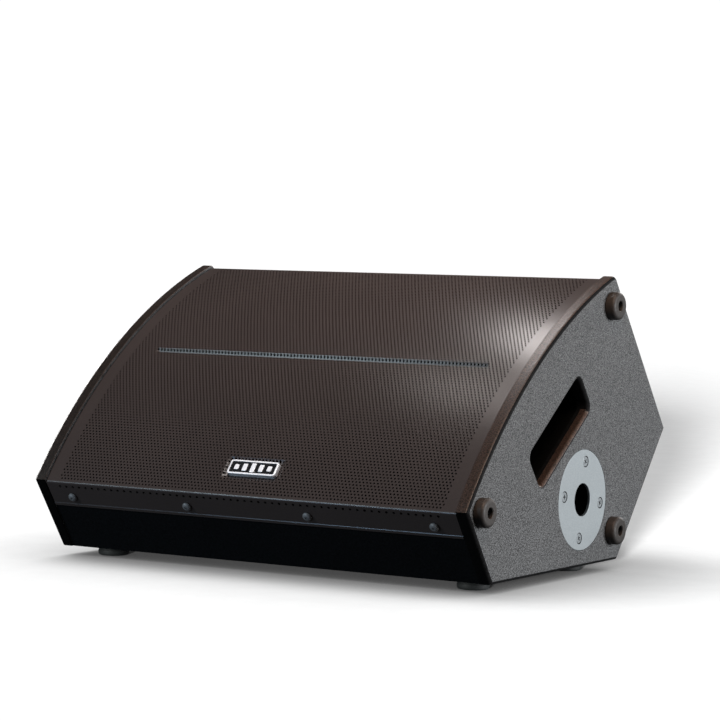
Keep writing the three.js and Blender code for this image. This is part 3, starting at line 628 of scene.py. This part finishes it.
def build_perforated(name, sheet, rows, start, stop, columns, edge_x):
    """One half of the grille from start to stop along the sheet, with holes in the rows given."""
    xs, ss, depths, faces = [], [], [], []

    def vertex(x, s, deep=0.0):
        xs.append(x)
        ss.append(s)
        depths.append(deep)
        return len(xs) - 1

    cache = {}

    def line(s, dense):
        key = (round(s * 1e7), dense)
        if key not in cache:
            inner = columns if dense else []
            cache[key] = [vertex(x, s) for x in (-edge_x, *inner, edge_x)]
        return cache[key]

    perforated = {round(a * 1e7) for a, _ in rows}
    bends = {s for s in sheet.reach if start < s < stop}
    stops = sorted({start, stop, *bends, *(s for row in rows for s in row)})
    inside = [s for s in stops if not any(a + SAME < s < b - SAME for a, b in rows)]
    kept = [inside[0]]
    for s in inside[1:]:
        if s - kept[-1] > 0.05 * MM:
            kept.append(s)
    row_edges = {round(s * 1e7) for row in rows for s in row}
    spots = [math.radians(a) for a in (-150, -90, -30, 30, 90, 150)]
    walls = [
        (sheet.find(GROOVE["u"]), GROOVE["half_length"]),
        (sheet.pocket_wall(), BADGE["width"] / 2 + 2 * MM),
    ]
    for a, b in zip(kept, kept[1:]):
        spans_row = any(abs(a - row_a) < SAME and abs(b - row_b) < SAME for row_a, row_b in rows)
        is_row = round(a * 1e7) in perforated and spans_row
        low = line(a, round(a * 1e7) in row_edges)
        high = line(b, round(b * 1e7) in row_edges)
        if not is_row:
            faces.append(low + high[::-1])
            continue
        number = round((a - rows[-1][0]) / ROW_PITCH)
        offset = number % 2
        faces.append([low[0], low[1], high[1], high[0]])
        faces.append([low[-2], low[-1], high[-1], high[-2]])
        if offset:
            faces.append([low[1], low[2], high[2], high[1]])
            faces.append([low[-3], low[-2], high[-2], high[-3]])
        middle_s = (a + b) / 2
        for k in range(1 + offset, len(low) - 3, 2):
            centre_x = xs[low[k + 1]]
            outer = [low[k], low[k + 1], low[k + 2], high[k + 2], high[k + 1], high[k]]
            on_flange = b < sheet.reach[sheet.fold_end]
            if on_flange and (k // 2) % 2:
                faces.append(outer)
                continue
            radius, lift = (FLANGE_HOLE_RADIUS if on_flange else HOLE_RADIUS), 0.0
            if any(abs(a - wall_s) < SAME and abs(centre_x) < half for wall_s, half in walls):
                radius, lift = WALL_HOLE["radius"], WALL_HOLE["lift"]
            centre_s = middle_s + lift
            ring = [(centre_x + radius * math.cos(t), centre_s + radius * math.sin(t)) for t in spots]
            top = [vertex(x, s) for x, s in ring]
            bottom = [vertex(x, s, SHEET) for x, s in ring]
            for i in range(6):
                j = (i + 1) % 6
                faces.append([outer[i], outer[j], top[j], top[i]])
                faces.append([top[i], top[j], bottom[j], bottom[i]])
    xs, ss, depths = map(np.array, (xs, ss, depths))
    u, v = sheet.at(ss)
    nu, nv = sheet.normal(ss)
    sink = depths + pressed(xs, ss, sheet)
    u, v = u - nu * sink, v - nv * sink
    y = CORNER.y + u * AXIS_U.y + v * AXIS_V.y
    z = CORNER.z + u * AXIS_U.z + v * AXIS_V.z
    verts = np.stack([MID_X + xs, y, z], axis=1)
    return build(name, verts, faces, [GRILLE_PAINT], sharp=28)


def build_foam():
    """The foam behind the sheet, set back far enough to clear the groove and the badge pocket."""
    outer, inner = (GRILLE_DROP + depth for depth in FOAM_DEPTHS)
    us = [12 * MM + (BACK_U - 34 * MM) * i / 60 for i in range(61)]
    outline = [(u, arc_v(u, outer)) for u in us] + [(u, arc_v(u, inner)) for u in reversed(us)]
    reach = HALF - PLY - 1 * MM
    count = len(outline)
    verts = [place(x, u, v) for x in (-reach, reach) for u, v in outline]
    faces = [(i, (i + 1) % count, count + (i + 1) % count, count + i) for i in range(count)]
    for i in range(count // 2 - 1):
        near = (i, i + 1, count - 2 - i, count - 1 - i)
        faces += [near[::-1], tuple(k + count for k in near)]
    stands_for(build("foam_sheet", verts, faces, [FOAM]), "grille_foam")


def dome_screw(name, node, matrix, radius, height, surface):
    """A pan-head screw with a cross recess. Its seat is the local origin, +Z outward."""
    top = 0.42 * radius
    profile = [(radius - top, 0.0), (radius * 0.3, 0.12 * height), (radius * 0.1, 0.4 * height)]
    profile += [(0, 0.75 * height), (0, height)]
    plate = Plate(circle(0, 0, radius, 32), profile)
    plate.hole(cross(0, 0, 0.34 * radius, 0.09 * radius), [(0, 0), (0, 0.45 * height)], blind=0).close()
    lift = Matrix.Translation((0, 0, height))
    piece = build_plate(name, plate, [surface], matrix @ lift)
    stands_for(piece, node)


def middle_of(node):
    low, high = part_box(node)
    return (low + high) / 2


def build_grille_fittings():
    out_u, out_v = -math.cos(FRONT_LEAN), math.sin(FRONT_LEAN)
    outward = AXIS_U * out_u + AXIS_V * out_v
    along = AXIS_U * math.sin(FRONT_LEAN) + AXIS_V * math.cos(FRONT_LEAN)
    for i in range(1, 5):
        node = f"grille_screw_{i}"
        x = middle_of(node).x - MID_X
        u, v = front_point(FLANGE_SCREW_UP, 0.1 * MM)
        turn = Matrix.Rotation(math.radians(17 * i), 4, "Z")
        matrix = axes(place(x, u, v), along.cross(outward), along, outward) @ turn
        dome_screw(f"flange_{node}", node, matrix, 5.2 * MM, 3 * MM, FLANGE_SCREW)
    build_badge()


def build_badge():
    """A plain plate: bright rim, black field and five raised level bars."""
    u = BADGE["u"]
    lean = math.asin((u - ARC_CENTRE[0]) / ARC_RADIUS)
    out = AXIS_U * math.sin(lean) + AXIS_V * math.cos(lean)
    up = AXIS_U * math.cos(lean) - AXIS_V * math.sin(lean)
    origin = place(0, u, arc_v(u, GRILLE_DROP)) + out * BADGE["proud"]
    matrix = axes(origin, Vector((1, 0, 0)), up, out)
    rim = rounding(0.6 * MM, steps=3) + [(0, BADGE["deep"])]
    width, height = BADGE["width"], BADGE["height"]
    plate = Plate(rounded_rectangle(0, 0, width, height, 3 * MM), rim)
    field = rounded_rectangle(0, 0, width - 4 * MM, height - 4 * MM, 1.6 * MM)
    plate.hole(field, [(0, 0), (0, 0.9 * MM)], blind=1)
    plate.close()
    piece = build_plate("badge_frame", plate, [BADGE_METAL, BADGE_BLACK], matrix)
    stands_for(piece, "badge_plate")
    for i, share in enumerate(BADGE_BAR_SHARES):
        x, tall = (i - 2) * BADGE_BAR["pitch"], BADGE_BAR["height"] * share
        bar = rounded_rectangle(x, 0, BADGE_BAR["width"], tall, 0.8 * MM, 3)
        bar_plate = Plate(bar, rounding(0.3 * MM, steps=2) + [(0, 0.7 * MM)]).close()
        lower = Matrix.Translation((0, 0, -0.15 * MM))
        mark = build_plate(f"badge_bar_{i + 1}", bar_plate, [BADGE_METAL], matrix @ lower)


# ---------------------------------------------------------------- right side
def build_pole_socket():
    matrix = side_matrix(1, DISC["u"], DISC["v"])
    sheet = DISC["sheet"]
    places = [(math.cos(a) * DISC["pitch"], math.sin(a) * DISC["pitch"])
              for a in (math.radians(45 + 90 * k) for k in range(4))]
    plate = Plate(circle(0, 0, DISC["radius"], 128), rounding(0.4 * MM, steps=2) + [(0, sheet)])
    plate.hole(circle(0, 0, DISC["bore"], 64), rounding(0.8 * MM, steps=3) + [(0, sheet)])
    for x, y in places:
        # the countersinks take the black slot: painted shade round each screw head
        plate.hole(circle(x, y, 2.9 * MM, 32), [(3.4 * MM, 0), (0, sheet)], slot=1)
    plate.close()
    piece = build_plate("socket_plate", plate, [ZINC, BLACK_PAINT_AND_SHADE], matrix)
    stands_for(piece, "pole_socket")
    bore, wall, depth = DISC["bore"], SOCKET_TUBE["wall"], SOCKET_TUBE["depth"]
    profile = [(bore, -sheet), (bore, -depth), (0, -depth), (0, -depth - wall)]
    profile += [(bore + wall, -depth - wall), (bore + wall, -sheet)]
    tube = turned("socket_tube", profile, [CUP_PLASTIC_AND_SHADE], matrix)
    for k, (x, y) in enumerate(places):
        rim = rounding(0.25 * MM, steps=2) + [(0.4 * MM, 0.8 * MM), (3 * MM, 3 * MM)]
        head = Plate(circle(0, 0, 5.4 * MM, 32), rim)
        # the cross recess takes the black slot: painted shade inside the recess
        head.hole(cross(0, 0, 2.7 * MM, 0.6 * MM), [(0, 0), (0.1 * MM, 1.6 * MM)], slot=1, blind=1).close()
        turn = Matrix.Translation((x, y, -0.3 * MM)) @ Matrix.Rotation(math.radians(20 + 31 * k), 4, "Z")
        screw = build_plate(f"socket_screw_{k + 1}", head, [SCREW_ZINC, BLACK_PAINT_AND_SHADE], matrix @ turn)
        stands_for(screw, f"pole_socket_screw_{k + 1}")


def build_bumpers():
    radius, height, gap = 15.5 * MM, 12 * MM, 0.3 * MM
    profile = [(5.6 * MM, 4 * MM), (2.6 * MM, 4 * MM), (2.6 * MM, gap), (radius - 0.6 * MM, gap)]
    profile += [(radius, gap + 0.8 * MM), (radius, height - 4.2 * MM)]
    profile += [(radius - 4 * MM + r, height - 4 * MM + h) for r, h in arc_points(0, 0, 4 * MM, 8, 82, 6)]
    profile += [(radius - 4.6 * MM, height), (6.5 * MM, height), (5.6 * MM, height - 0.8 * MM)]
    for name in ("front", "top", "rear"):
        middle = middle_of(f"side_bumper_{name}")
        origin = Vector((right_hi.x, middle.y, middle.z))
        matrix = axes(origin, AXIS_U, AXIS_V, Vector((1, 0, 0)))
        piece = turned(f"bumper_{name}", profile[::-1], [RUBBER], matrix)
        stands_for(piece, f"side_bumper_{name}")
        seat = Matrix.Translation((0, 0, 4.3 * MM))
        dome_screw(f"bumper_head_{name}", f"bumper_screw_{name}", matrix @ seat, 5 * MM, 2.2 * MM,
                   SCREW_BLACK)


def build_feet():
    radius, height = 17.5 * MM, 10.7 * MM
    profile = [(0, height), (0, 4 * MM), (6 * MM, 4 * MM), (6 * MM, 0.6 * MM), (6.6 * MM, 0)]
    profile += [(radius - 2.6 * MM, 0), (radius - 0.9 * MM, 0.7 * MM), (radius, 2.4 * MM)]
    profile += [(radius, 5.6 * MM), (radius - 0.5 * MM, 6 * MM), (radius - 0.5 * MM, 6.8 * MM)]
    profile += [(radius, 7.2 * MM), (radius, height)]
    for row in ("front", "rear"):
        for side in ("left", "right"):
            node = f"foot_{row}_{side}"
            low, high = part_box(node)
            origin = Vector(((low.x + high.x) / 2, (low.y + high.y) / 2, 0))
            piece = turned(f"rubber_{node}", profile, [FOOT_RUBBER], Matrix.Translation(origin))
            stands_for(piece, node)


# ---------------------------------------------------------------- amplifier panel
def rear_matrix(x, y, z=0.0):
    """Local X right and Y up as seen from behind, +Z outward, from the rear upper panel's face."""
    u = BACK_U - 2.2 * MM
    return axes(place(-x, u + z, AMP_V + y), Vector((-1, 0, 0)), AXIS_V, AXIS_U)


def build_rear():
    for node in ("amp_panel", "amp_heatsink", "amp_housing"):
        dress(node, AMP_COAT, 0 if node == "amp_housing" else 0.4 * MM)
    for node in ("input_socket", "link_socket", "mains_inlet", "power_switch_frame"):
        dress(node, PLASTIC, 0.3 * MM)
    dress("power_rocker", PLASTIC, 0.5 * MM)
    dress("ground_lift_button", PLASTIC, 0.3 * MM)
    dress("input_latch", SCREW_BLACK, 0.4 * MM)
    dress("status_lens", LENS)
    dress("amp_board", BOARD)
    for i, (x, y) in enumerate([(1, 1), (-1, 1), (-1, -1), (1, -1)], start=1):
        matrix = rear_matrix(x * AMP_SCREW_AT[0], y * AMP_SCREW_AT[1], AMP_FACE)
        dome_screw(f"panel_screw_{i}", f"amp_screw_{i}", matrix, 3.8 * MM, 2.3 * MM,
                   SCREW_BLACK)
    build_contacts(AMP_FACE)
    build_knob(AMP_FACE)


def build_contacts(face):
    """Metal contacts in the three sockets, and the plain printed frames round the fittings."""
    (x, y), insert = SOCKETS["input"], face + 1 * MM
    for i, way in enumerate((270, 30, 150)):
        turn = math.radians(way)
        matrix = rear_matrix(x + 4 * MM * math.cos(turn), y + 4 * MM * math.sin(turn), insert)
        sleeve = [(1.3 * MM, -1 * MM), (1.9 * MM, -1 * MM), (1.9 * MM, 0.2 * MM)]
        sleeve += [(1.6 * MM, 0.35 * MM), (1.3 * MM, 0.2 * MM)]
        ring = turned(f"input_contact_{i + 1}", sleeve, [SCREW_ZINC], matrix, 24)
        # a near-black plug fills each contact sleeve: painted shade for the hole's depth
        floor = Plate(circle(0, 0, 1.3 * MM, 24), [(0, -0.05 * MM), (0, 1 * MM)]).close()
        build_plate(f"input_hole_{i + 1}", floor, [CUP_PLASTIC_AND_SHADE], matrix)
    x, y = SOCKETS["link"]
    for i, way in enumerate((90, 210, 330)):
        turn = math.radians(way)
        matrix = rear_matrix(x + 4 * MM * math.cos(turn), y + 4 * MM * math.sin(turn), face - 2.8 * MM)
        pin = Plate(circle(0, 0, 1.28 * MM, 24), rounding(0.7 * MM, steps=3) + [(0, 11 * MM)]).close()
        build_plate(f"link_pin_{i + 1}", pin, [SCREW_ZINC], matrix)
    x, y = SOCKETS["mains"]
    for i, (dx, dy) in enumerate(((-7, -2), (0, 3), (7, -2))):
        matrix = rear_matrix(x + dx * MM, y + dy * MM, face - 3.8 * MM)
        outline = rounded_rectangle(0, 0, 2.2 * MM, 4.2 * MM, 0.4 * MM, 3)
        blade = Plate(outline, rounding(0.3 * MM, steps=2) + [(0, 12 * MM)]).close()
        build_plate(f"mains_blade_{i + 1}", blade, [SCREW_ZINC], matrix)
    for name, ((x0, y0), (x1, y1)) in FRAMES.items():
        width, height, line = x1 - x0, y1 - y0, 0.6 * MM
        border = Plate(rounded_rectangle(0, 0, width, height, 3 * MM), [(0, 0), (0, 0.08 * MM)])
        inner = rounded_rectangle(0, 0, width - 2 * line, height - 2 * line, 3 * MM - line)
        border.hole(inner, [(0, 0), (0, 0.08 * MM)]).close()
        matrix = rear_matrix((x0 + x1) / 2, (y0 + y1) / 2, face - 0.25 * MM)
        build_plate(f"printed_frame_{name}", border, [MARK], matrix)


def build_knob(face):
    x, y = KNOB_AT
    matrix = rear_matrix(x, y)

    def flutes(angle, radius, height):
        grip = height > face + 4.2 * MM and radius > 6 * MM
        return 1 - (0.05 * (0.5 + 0.5 * math.cos(18 * angle)) if grip else 0)

    top = face + 15 * MM
    profile = [(0, -6 * MM), (3 * MM, -6 * MM), (3 * MM, face + 0.6 * MM), (10 * MM, face + 0.6 * MM)]
    profile += [(9.8 * MM, face + 1.6 * MM), (8.2 * MM, face + 4 * MM), (7.9 * MM, face + 4.6 * MM)]
    profile += [(7.4 * MM, top - 1 * MM), (6.8 * MM, top - 0.3 * MM), (6.2 * MM, top), (0, top)]
    knob = turned("fluted_knob", profile, [PLASTIC], matrix, 144, "knob", flutes=flutes)
    stands_for(knob, "level_knob")
    outline = rounded_rectangle(0, 4 * MM, 0.9 * MM, 4 * MM, 0.3 * MM, 2)
    pointer = Plate(outline, [(0, 0), (0, 0.3 * MM)]).close()
    mark = build_plate("knob_pointer", pointer, [MARK], rear_matrix(x, y, top + 0.15 * MM), "knob")
    for i in range(11):
        angle = math.radians(240 - 30 * i)
        tick = rounded_rectangle(0, 13.2 * MM, 0.6 * MM, (2.6 if i % 5 == 0 else 1.6) * MM, 0.2 * MM, 2)
        turn = Matrix.Rotation(angle - math.pi / 2, 4, "Z")
        plate = Plate(tick, [(0, 0), (0, 0.1 * MM)]).close()
        tick_mark = build_plate(f"dial_tick_{i + 1}", plate, [MARK], rear_matrix(x, y, 2.85 * MM) @ turn)


def build_inside():
    for node, surface in {
        "driver_basket": CAST, "woofer_surround": RUBBER, "woofer_cone": CONE, "voice_coil": COPPER,
        "spider": CLOTH, "driver_magnet": FERRITE, "hf_horn": PLASTIC, "compression_driver": CAST,
        "port_tube_left": PLASTIC, "port_tube_right": PLASTIC,
    }.items():
        dress(node, surface)


# ---------------------------------------------------------------- studio
def group(name, keep=lambda piece: True):
    """A collection of the object's pieces, for the lights that are flagged off everything else."""
    made = bpy.data.collections.new(name)
    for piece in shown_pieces():
        if keep(piece.name):
            made.objects.link(piece)
    return made


def aim(obj, target):
    obj.rotation_mode = "QUATERNION"
    obj.rotation_quaternion = (Vector(target) - obj.location).to_track_quat("-Z", "Y")


def soft_box(name, spot, target, size, power, colour, receivers):
    """A rectangular lamp at spot that lights only the receivers."""
    data = bpy.data.lights.new(name, "AREA")
    data.shape = "RECTANGLE"
    data.size, data.size_y = size
    data.energy = power
    data.color = colour
    light = bpy.data.objects.new(name, data)
    light.location = spot
    bpy.context.scene.collection.objects.link(light)
    aim(light, target)
    light.light_linking.receiver_collection = receivers


def sky_light(name, direction, irradiance, softness, receivers, blockers=None):
    """A distant light that gives a level floor so much irradiance."""
    data = bpy.data.lights.new(name, "SUN")
    data.energy = irradiance / Vector(direction).normalized().z
    data.angle = math.radians(softness)
    light = bpy.data.objects.new(name, data)
    light.location = Vector(direction) * 3
    bpy.context.scene.collection.objects.link(light)
    aim(light, (0, 0, 0))
    light.light_linking.receiver_collection = receivers
    if blockers is not None:
        light.light_linking.blocker_collection = blockers


def build_studio():
    size = 60.0
    corners = [(-size, -size, 0), (size, -size, 0), (size, size, 0), (-size, size, 0)]
    floor = build("studio_floor", corners, [(0, 1, 2, 3)], [FLOOR])
    floor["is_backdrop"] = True
    floor.parent = None
    floor.visible_diffuse = False
    floor.visible_glossy = False
    ground = bpy.data.collections.new("ground")
    ground.objects.link(floor)
    full = 1.04 * math.pi / 0.81  # a floor that reflects 0.81 of this looks white
    sky_light("floor_even", (0, 0, 1), 0.18 * full, 20, ground, blockers=ground)
    sky_light("floor_high", (-0.5, -0.1, 1.0), 0.32 * full, 50, ground)
    sky_light("floor_low", (0.389, -0.921, 0.092), 0.50 * full, 5, ground)

    everything = group("everything")
    rights = ("right", "bumper")
    right_side = group("right_side", lambda name: any(word in name for word in rights))
    fronts = ("grille", "badge", "front_panel")
    front = group("front", lambda name: any(word in name for word in fronts))
    badge = group("badge", lambda name: "badge" in name)
    feet = group("feet", lambda name: "foot" in name)
    left_side = group("left_side", lambda name: "panel_left" in name or "cup_left" in name)
    bumpers = group("bumpers", lambda name: "bumper" in name)
    soft_box("warm_key", (0.02, 0.12, 0.78), (0.246, -0.038, 0.26), (0.1, 0.2), 1.22, (1.0, 0.94, 0.925),
             everything)
    soft_box("warm_lower", (-0.10, -0.07, 0.83), (0.246, -0.12, 0.2), (0.1, 0.2), 0.35, (1.0, 0.93, 0.9),
             front)
    soft_box("warm_top", (0.3, -0.7, 1.9), (0, 0, 0.2), (0.6, 0.6), 12, (1.0, 0.93, 0.90), front)
    soft_box("warm_right", (0.9, -0.6, 1.2), (0.27, 0, 0.2), (0.4, 0.4), 6, (1.0, 0.8, 0.66), right_side)
    soft_box("bumpers", (0.6, -0.6, 1.3), (0.28, 0, 0.2), (0.3, 0.3), 10, (1.0, 0.62, 0.42), bumpers)
    soft_box("badge_light", (0.3, -0.9, 1.5), (0, -0.2, 0.15), (0.5, 0.5), 22, (1.0, 0.98, 0.98), badge)
    soft_box("cool_front", (-1.27, -1.86, 1.01), (0, 0, 0.17), (0.4, 0.3), 11, (0.72, 0.9, 1.0), everything)
    soft_box("low_front", (-0.9, -2.2, 0.12), (0, 0, 0.12), (0.5, 0.3), 7.2, (0.5, 0.74, 1.05), front)
    soft_box("feet", (-0.5, -1.6, 0.25), (0, -0.1, 0), (0.3, 0.3), 16, (0.95, 1.0, 1.0), feet)
    soft_box("side", (2.4, 0.5, 0.3), (0.27, 0, 0.17), (1.6, 1.2), 106, (0.96, 0.98, 1.0), everything)
    soft_box("rear", (0.0, 2.6, 1.0), (0, 0.1, 0.2), (1.2, 1.0), 62, (1.0, 0.98, 0.96), everything)
    soft_box("left", (-2.4, 0.9, 0.6), (-0.28, 0, 0.17), (1.2, 1.0), 70, (1.0, 0.98, 0.96), left_side)

    world = bpy.data.worlds.new("studio")
    bpy.context.scene.world = world
    world.use_nodes = True
    nodes, links = world.node_tree.nodes, world.node_tree.links
    seen = nodes["Background"]
    seen.inputs["Color"].default_value = (1, 1, 1, 1)
    seen.inputs["Strength"].default_value = 1.05
    dim = nodes.new("ShaderNodeBackground")
    dim.inputs["Color"].default_value = (0.9, 0.95, 1.0, 1)
    dim.inputs["Strength"].default_value = 0.04
    path = nodes.new("ShaderNodeLightPath")
    choose = nodes.new("ShaderNodeMixShader")
    links.new(path.outputs["Is Camera Ray"], choose.inputs["Fac"])
    links.new(dim.outputs["Background"], choose.inputs[1])
    links.new(seen.outputs["Background"], choose.inputs[2])
    links.new(choose.outputs["Shader"], nodes["World Output"].inputs["Surface"])
    bpy.context.scene.view_settings.view_transform = "Standard"


def build_camera():
    azimuth, elevation, roll = math.radians(32.117), math.radians(2.868), math.radians(0.889)
    level = math.cos(elevation)
    back = Vector((math.sin(azimuth) * level, -math.cos(azimuth) * level, math.sin(elevation)))
    right = (-back).cross(Vector((0, 0, 1))).normalized()
    up = right.cross(-back)
    tilted_right = right * math.cos(roll) + up * math.sin(roll)
    tilted_up = up * math.cos(roll) - right * math.sin(roll)
    data = bpy.data.cameras.new("camera")
    data.lens = 140.8
    data.clip_end = 200
    camera = bpy.data.objects.new("camera", data)
    camera.matrix_world = axes(Vector((1.6908, -2.6923, 0.3861)), tilted_right, tilted_up, back)
    bpy.context.scene.collection.objects.link(camera)
    bpy.context.scene.camera = camera


build_cabinet()
build_grille()
build_foam()
build_grille_fittings()
build_pole_socket()
build_bumpers()
build_feet()
build_rear()
build_inside()
build_camera()
build_studio()
